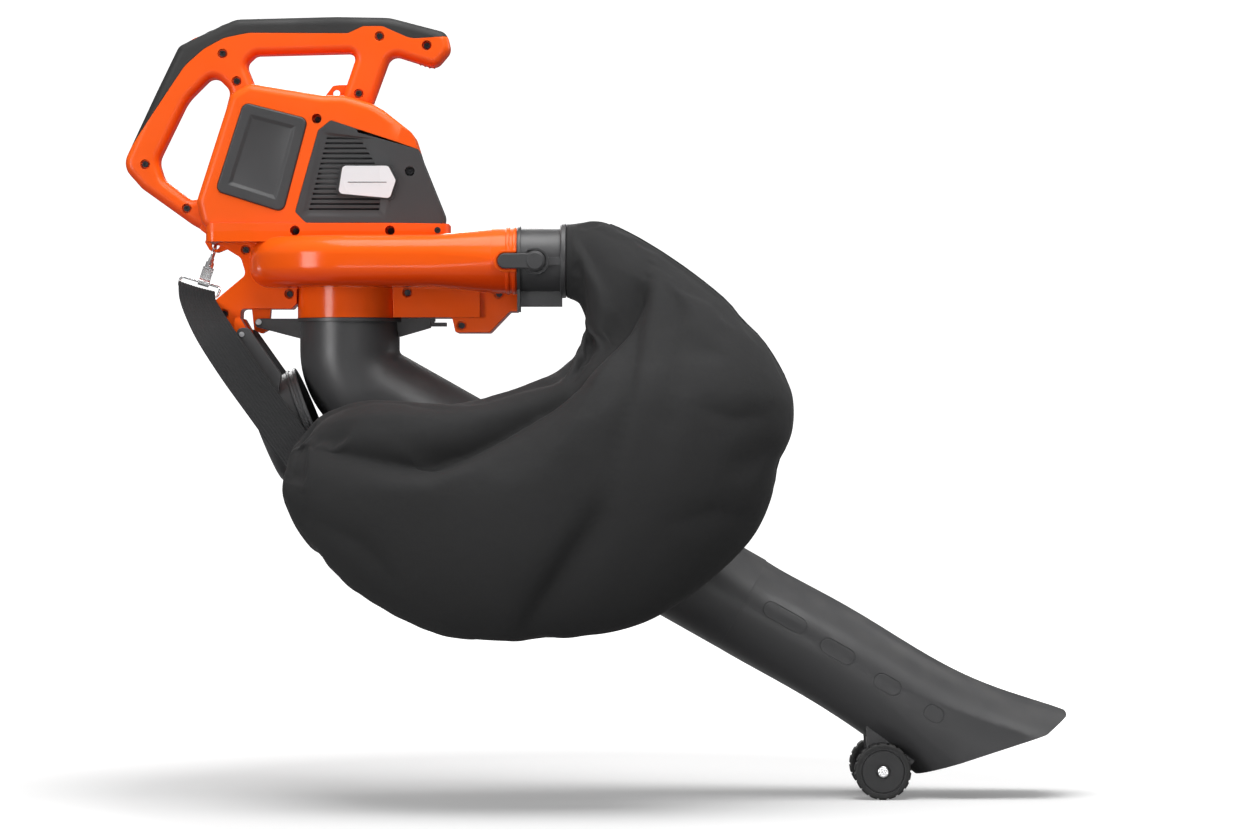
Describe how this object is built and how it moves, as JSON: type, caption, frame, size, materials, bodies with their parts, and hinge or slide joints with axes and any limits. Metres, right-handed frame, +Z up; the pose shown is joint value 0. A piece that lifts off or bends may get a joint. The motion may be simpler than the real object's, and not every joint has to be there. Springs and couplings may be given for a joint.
{
  "type": "leaf vacuum mulcher",
  "caption": "Hand-held battery leaf vacuum: looped handle, fan casing, sloped suction tube with nozzle and wheels, and a strapped collection bag.",
  "frame": {"origin": "centre of the harness eye on top of the body, in the mid plane", "axes": "+X forwards to the nozzle, +Z up as it stands on its wheels, -Y to the operator's right, where the bag hangs"},
  "size_m": [1.126, 0.4083, 0.9332],
  "materials": {
    "orange": "smooth glossy moulding",
    "soft_grip": "fine matt grain",
    "dark_plastic": "fine grain",
    "tube_plastic": "semi matt",
    "badge": "satin silver",
    "battery_case": "fine grain",
    "board": "coated",
    "steel": "turned",
    "black_steel": "black oxide",
    "chrome": "polished",
    "aluminium": "machined",
    "fan_plastic": "moulded",
    "copper": "enamelled wire",
    "tyre": "hard rubber",
    "bag_cloth": "woven",
    "webbing": "ribbed",
    "wire": "cable jacket"
  },
  "bodies": {
    "housing": {"right_housing_shell": "orange", "left_housing_shell": "orange", "handle_grip": "soft_grip", "control_panel": "dark_plastic", "right_motor_grille": "dark_plastic", "left_motor_grille": "dark_plastic", "badge_plate": "badge", "battery_bay_cover": "dark_plastic", "battery_terminal_block": "dark_plastic", "motor_mount_plate": "aluminium", "lower_bearing": "steel", "upper_bearing": "steel", "motor_stator": "copper", "controller_board": "board", "wiring_loom": "wire", "interlock_switch": "dark_plastic", "housing_screws": "black_steel", "strap_webbing": "webbing", "snap_hook": "chrome", "rectangular_ring": "chrome", "intake_cover_pin": "steel"},
    "fan": {"motor_rotor": "steel", "fan_impeller": "fan_plastic", "mulching_blade": "steel", "fan_nut": "steel"},
    "power_button": {"power_button": "orange"},
    "speed_button": {"speed_button": "dark_plastic"},
    "boost_button": {"boost_button": "dark_plastic"},
    "battery": {"battery_pack": "battery_case"},
    "battery_release": {"battery_release_button": "orange"},
    "bag": {"bag_adapter": "tube_plastic", "latch_pin": "steel", "collection_bag": "bag_cloth", "bag_collar_ring": "dark_plastic"},
    "latch": {"adapter_latch": "dark_plastic"},
    "hook_gate": {"hook_gate": "chrome"},
    "suction_tube": {"upper_suction_tube": "tube_plastic", "lower_suction_tube": "tube_plastic", "tube_hinge_pin": "steel", "wheel_axle": "steel", "right_hub_cap": "chrome", "left_hub_cap": "chrome"},
    "right_snap_button": {"right_snap_button": "tube_plastic"},
    "left_snap_button": {"left_snap_button": "tube_plastic"},
    "intake_cover": {"intake_cover": "tube_plastic"},
    "right_wheel": {"right_wheel_hub": "tube_plastic", "right_wheel_tyre": "tyre"},
    "left_wheel": {"left_wheel_hub": "tube_plastic", "left_wheel_tyre": "tyre"}
  },
  "joints": [
    {"name": "fan_spin", "type": "hinge", "parent": "housing", "child": "fan", "pos_m": [0.016, 0, -0.2], "axis": [0, 0, 1], "continuous": true},
    {"name": "power_press", "type": "slide", "parent": "housing", "child": "power_button", "axis": [0.4258, 0, -0.9048], "range_m": [0, 0.0012], "stiffness_N_per_m": 300},
    {"name": "speed_press", "type": "slide", "parent": "housing", "child": "speed_button", "axis": [0.4258, 0, -0.9048], "range_m": [0, 0.0012], "stiffness_N_per_m": 300},
    {"name": "boost_press", "type": "slide", "parent": "housing", "child": "boost_button", "axis": [0.4258, 0, -0.9048], "range_m": [0, 0.0012], "stiffness_N_per_m": 300},
    {"name": "battery_slide", "type": "slide", "parent": "housing", "child": "battery", "axis": [0, 1, 0], "range_m": [0, 0.105]},
    {"name": "battery_release_press", "type": "slide", "parent": "battery", "child": "battery_release", "axis": [0, -1, 0], "range_m": [0, 0.002], "stiffness_N_per_m": 400},
    {"name": "bag_slide_off", "type": "slide", "parent": "housing", "child": "bag", "axis": [1, 0, 0], "range_m": [0, 0.06]},
    {"name": "latch_rock", "type": "hinge", "parent": "bag", "child": "latch", "pos_m": [0.23, -0.122, -0.206], "axis": [0, 0, 1], "range_deg": [0, 4], "stiffness_Nm_per_rad": 0.2},
    {"name": "hook_gate_swing", "type": "hinge", "parent": "housing", "child": "hook_gate", "pos_m": [-0.14922, -0.0087, -0.19695], "axis": [0.9598, 0, -0.2806], "range_deg": [0, 10], "stiffness_Nm_per_rad": 0.01},
    {"name": "tube_swing", "type": "hinge", "parent": "housing", "child": "suction_tube", "pos_m": [-0.0923, 0, -0.2746], "axis": [0, 1, 0], "range_deg": [0, 2]},
    {"name": "right_snap_press", "type": "slide", "parent": "suction_tube", "child": "right_snap_button", "axis": [0, 1, 0], "range_m": [0, 0.004], "stiffness_N_per_m": 500},
    {"name": "left_snap_press", "type": "slide", "parent": "suction_tube", "child": "left_snap_button", "axis": [0, -1, 0], "range_m": [0, 0.004], "stiffness_N_per_m": 500},
    {"name": "intake_cover_swing", "type": "hinge", "parent": "housing", "child": "intake_cover", "pos_m": [-0.109, 0, -0.29], "axis": [0, 1, 0], "range_deg": [0, 12]},
    {"name": "right_wheel_spin", "type": "hinge", "parent": "suction_tube", "child": "right_wheel", "pos_m": [0.652, -0.051, -0.8087], "axis": [0, 1, 0], "continuous": true},
    {"name": "left_wheel_spin", "type": "hinge", "parent": "suction_tube", "child": "left_wheel", "pos_m": [0.652, 0.051, -0.8087], "axis": [0, 1, 0], "continuous": true}
  ]
}
